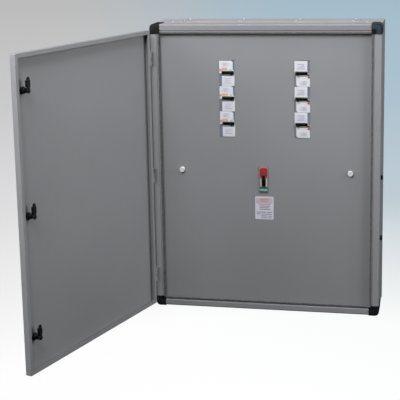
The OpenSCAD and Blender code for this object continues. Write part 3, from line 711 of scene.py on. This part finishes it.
def floor_painted_glow():
    """Pale floor whose brightness is painted light: it glows white near the object, darker with distance, and
    cooler on the right.
    """
    glow_material = bpy.data.materials.new("floor_painted_glow")
    glow_material.use_nodes = True
    tree = glow_material.node_tree
    bsdf = tree.nodes["Principled BSDF"]
    bsdf.inputs["Base Color"].default_value = (0.02, 0.02, 0.02, 1)
    bsdf.inputs["Roughness"].default_value = 0.9
    bsdf.inputs["Specular IOR Level"].default_value = 0.0
    coord = tree.nodes.new("ShaderNodeTexCoord")

    def maths(operation, a, b=0.0):
        node = tree.nodes.new("ShaderNodeMath")
        node.operation = operation
        for socket, value in ((node.inputs[0], a), (node.inputs[1], b)):
            if isinstance(value, (int, float)):
                socket.default_value = value
            else:
                tree.links.new(value, socket)
        return node.outputs[0]

    length = tree.nodes.new("ShaderNodeVectorMath")
    length.operation = "LENGTH"
    tree.links.new(coord.outputs["Object"], length.inputs[0])
    split = tree.nodes.new("ShaderNodeSeparateXYZ")
    tree.links.new(coord.outputs["Object"], split.inputs["Vector"])
    x, y = split.outputs["X"], split.outputs["Y"]
    # Half the logarithm of the distance runs from 0 at the middle to 1 at 99 m
    far = maths("MULTIPLY", maths("LOGARITHM", maths("ADD", length.outputs["Value"], 1.0), 10), 0.5)
    across = maths("DIVIDE", maths("ADD", x, maths("MULTIPLY", y, FLOOR_SLANT)),
                   maths("ADD", maths("ABSOLUTE", y), FLOOR_SPREAD))
    side = tree.nodes.new("ShaderNodeMapRange")
    side.interpolation_type = "SMOOTHSTEP"
    side.inputs["From Min"].default_value = FLOOR_BLEND[0]
    side.inputs["From Max"].default_value = FLOOR_BLEND[1]
    tree.links.new(across, side.inputs["Value"])
    blend = tree.nodes.new("ShaderNodeMix")
    blend.data_type = "RGBA"
    tree.links.new(side.outputs["Result"], blend.inputs["Factor"])
    tree.links.new(add_ramp(tree, far, FLOOR_LEFT), blend.inputs[6])
    tree.links.new(add_ramp(tree, far, FLOOR_RIGHT), blend.inputs[7])
    # Painted light: the floor's brightness comes from this emission, not from the lamps
    tree.links.new(blend.outputs[2], bsdf.inputs["Emission Color"])
    bsdf.inputs["Emission Strength"].default_value = 1.0
    return glow_material


def floor():
    """A plain pale floor that shines on nothing and isn't mirrored in the metal; its brightness is painted glow,
    not lamp light.
    """
    mesh = bpy.data.meshes.new("floor")
    bm = bmesh.new()
    bmesh.ops.create_circle(bm, cap_ends=True, segments=96, radius=FLOOR_RADIUS)
    bm.to_mesh(mesh)
    bm.free()
    mesh.materials.append(floor_painted_glow())
    ground = bpy.data.objects.new("floor", mesh)
    ground.location = (0, 0, FLOOR_Z)
    bpy.context.scene.collection.objects.link(ground)
    ground.visible_diffuse = False
    ground.visible_glossy = False


def lamp(name, place, target, size, watts):
    """A soft square lamp aimed at a point."""
    data = bpy.data.lights.new(name, "AREA")
    data.energy = watts
    data.size = size
    light = bpy.data.objects.new(name, data)
    light.location = place
    light.rotation_euler = (Vector(target) - Vector(place)).to_track_quat("-Z", "Y").to_euler()
    bpy.context.scene.collection.objects.link(light)


SKY_STRENGTH = 0.08
# Sky colours from straight down to straight up
SKY_STOPS = ((0.0, (0.10, 0.10, 0.11)), (0.45, (0.20, 0.21, 0.23)), (0.5, (0.50, 0.58, 0.64)),
             (0.7, (0.85, 0.88, 0.92)), (1.0, (1.0, 1.0, 1.0)))
FLOOR_Z = -1.25
FLOOR_RADIUS = 90
# The line between the floor's two sides leans by this much, and spreads out from this far off
FLOOR_SLANT = 0.216
FLOOR_SPREAD = 5.0
FLOOR_BLEND = (-0.15, 0.10)
# Painted glow of the floor from near to far, on the left and on the right of the view
FLOOR_LEFT = ((0.0, (1.0, 1.0, 1.0)), (0.20, (0.97, 0.97, 0.97)), (0.27, (0.86, 0.86, 0.86)),
              (0.37, (0.73, 0.73, 0.74)), (0.52, (0.59, 0.59, 0.60)), (0.74, (0.50, 0.50, 0.50)),
              (1.0, (0.48, 0.48, 0.49)))
FLOOR_RIGHT = ((0.0, (1.0, 1.0, 1.0)), (0.20, (0.95, 0.96, 0.96)), (0.27, (0.78, 0.81, 0.82)),
               (0.37, (0.52, 0.60, 0.66)), (0.52, (0.42, 0.54, 0.62)), (0.74, (0.37, 0.50, 0.59)),
               (1.0, (0.36, 0.49, 0.58)))
# Each lamp's name, place, target, size and power
LAMPS = (("key", (-0.7, -2.6, 2.3), (0.0, -0.3, 0.35), 1.4, 83),
         ("top", (0.0, -0.4, 2.8), (0.0, -0.4, 0.0), 1.8, 43),
         ("right", (3.0, -1.2, 1.3), (-0.3, -0.5, 0.2), 2.0, 77),
         ("left", (-3.0, -2.6, 1.6), (-0.2, -0.5, 0.2), 2.0, 70),
         ("back", (-0.8, 3.6, -0.9), (0.0, 0.0, -0.1), 2.2, 85))
CAMERA_PLACE = Vector((0.704, -4.757, 0.993))
CAMERA_YAW = 12.22
CAMERA_PITCH = -11.23
CAMERA_ROLL = -1.12
CAMERA_LENS = 101.8
CAMERA_SHIFT = -0.125


def camera():
    """Camera at the photograph's angle, with a small shift towards parallel uprights."""
    yaw, pitch, roll = (math.radians(v) for v in (CAMERA_YAW, CAMERA_PITCH, CAMERA_ROLL))
    data = bpy.data.cameras.new("camera")
    data.lens = CAMERA_LENS
    data.shift_y = CAMERA_SHIFT
    eye = bpy.data.objects.new("camera", data)
    turn = (Matrix.Rotation(yaw, 4, "Z") @ Matrix.Rotation(math.pi / 2 + pitch, 4, "X")
            @ Matrix.Rotation(roll, 4, "Z"))
    eye.matrix_world = Matrix.Translation(CAMERA_PLACE) @ turn
    bpy.context.scene.collection.objects.link(eye)
    bpy.context.scene.camera = eye


camera()
dress_nodes()
corner_caps()
breaker_faces()
main_switch_face()
label_print()
knob_shade_washers()
latch_grips()
hinge_gap_shade_strip()
sky()
floor()
for name, place, target, size, watts in LAMPS:
    lamp(name, place, target, size, watts)
bpy.context.scene.view_settings.view_transform = "Standard"
